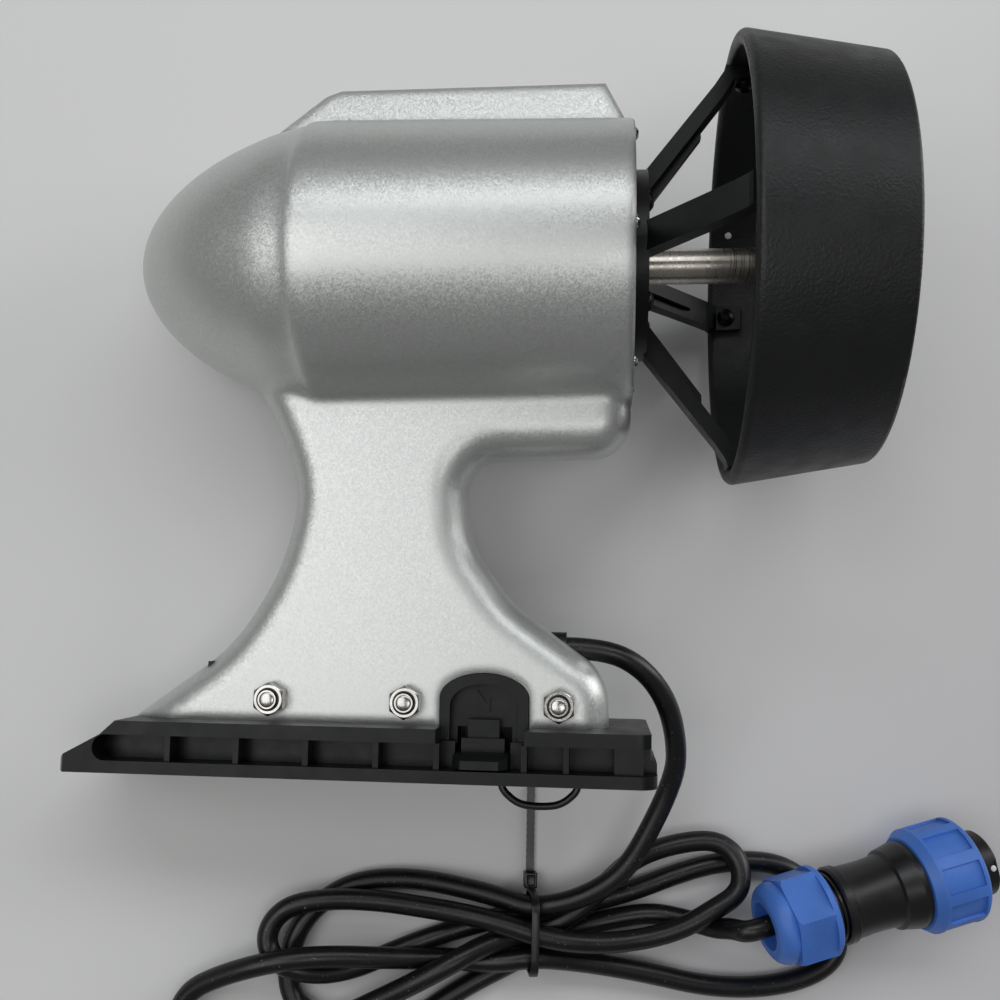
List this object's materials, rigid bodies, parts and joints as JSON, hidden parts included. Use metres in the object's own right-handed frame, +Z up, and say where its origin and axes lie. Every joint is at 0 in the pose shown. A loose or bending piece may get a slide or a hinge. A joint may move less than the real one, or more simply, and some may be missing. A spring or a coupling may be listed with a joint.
{
  "type": "electric fin thruster",
  "caption": "Electric fin thruster: bullet-shaped motor pod with a ducted propeller on a slide-in fin base, with its bundled cable and round power plug.",
  "frame": {"origin": "bottom centre of the thruster's bounding box as it lies on a table, measured without the cable, its coil and its plug", "axes": "+Z up from the table, +X along the table towards the duct end of the propeller shaft, +Y towards the keel on top of the pod"},
  "size_m": [0.2768, 0.3016, 0.1246],
  "materials": {
    "silver_paint": "sparkling silver-grey metallic paint",
    "cover_metal": "turned, matt",
    "duct_black": "fine leather grain",
    "base_black": "satin",
    "tie_black": "satin nylon",
    "cable_black": "satin",
    "seal_black": "matt",
    "plug_black": "satin to gloss",
    "ring_blue": "satin",
    "shaft_steel": "ground",
    "stainless": "bright",
    "screw_black": "blackened",
    "core_iron": "bare sheet iron",
    "magnet_grey": "nickel plated",
    "copper_wire": "lacquered copper",
    "contact_gold": "gold plated",
    "lead_red": "insulation"
  },
  "bodies": {
    "thruster": {"housing": "silver_paint", "rear_cover": "cover_metal", "cover_sealing_ring": "seal_black", "cover_screws": "stainless", "stator_core": "core_iron", "stator_windings": "copper_wire", "motor_leads": "lead_red", "rear_bearing_outer_ring": "stainless", "rear_bearing_balls": "stainless", "front_bearing_outer_ring": "stainless", "front_bearing_balls": "stainless", "shaft_seal": "seal_black", "spider": "base_black", "spider_screws": "screw_black", "duct": "duct_black", "duct_screws": "screw_black", "fin_base": "base_black", "cross_bolts": "stainless", "cross_nuts": "stainless", "latch_spring": "stainless", "cable_gland": "tie_black", "pull_loop": "tie_black", "cable": "cable_black", "cable_plug_lead": "cable_black", "cable_hank": "cable_black", "cable_tie": "tie_black", "gland_nut": "ring_blue", "gland_seal": "seal_black", "plug_body": "plug_black", "plug_o_ring": "seal_black", "plug_nose": "plug_black", "plug_contacts": "contact_gold"},
    "rotor": {"shaft": "shaft_steel", "rotor_core": "core_iron", "rotor_magnets": "magnet_grey", "rear_bearing_inner_ring": "stainless", "front_bearing_inner_ring": "stainless", "propeller": "base_black", "propeller_pin": "stainless", "propeller_washer": "stainless", "propeller_nut": "stainless"},
    "latch": {"latch_slider": "base_black"},
    "plug_ring": {"coupling_ring": "ring_blue"}
  },
  "joints": [
    {"name": "prop_spin", "type": "hinge", "parent": "thruster", "child": "rotor", "pos_m": [0.04043, 0.04497, 0.05749], "axis": [0.9837, 0, 0.1796], "continuous": true},
    {"name": "latch_slide", "type": "slide", "parent": "thruster", "child": "latch", "axis": [-0.01, 0.9985, 0.0547], "range_m": [0, 0.004], "stiffness_N_per_m": 250, "springref_m": -0.002, "deforming": ["latch_spring"]},
    {"name": "ring_spin", "type": "hinge", "parent": "thruster", "child": "plug_ring", "pos_m": [0.14438, -0.1296, 0.01664], "axis": [0.9652, 0.2465, -0.0872], "continuous": true}
  ]
}
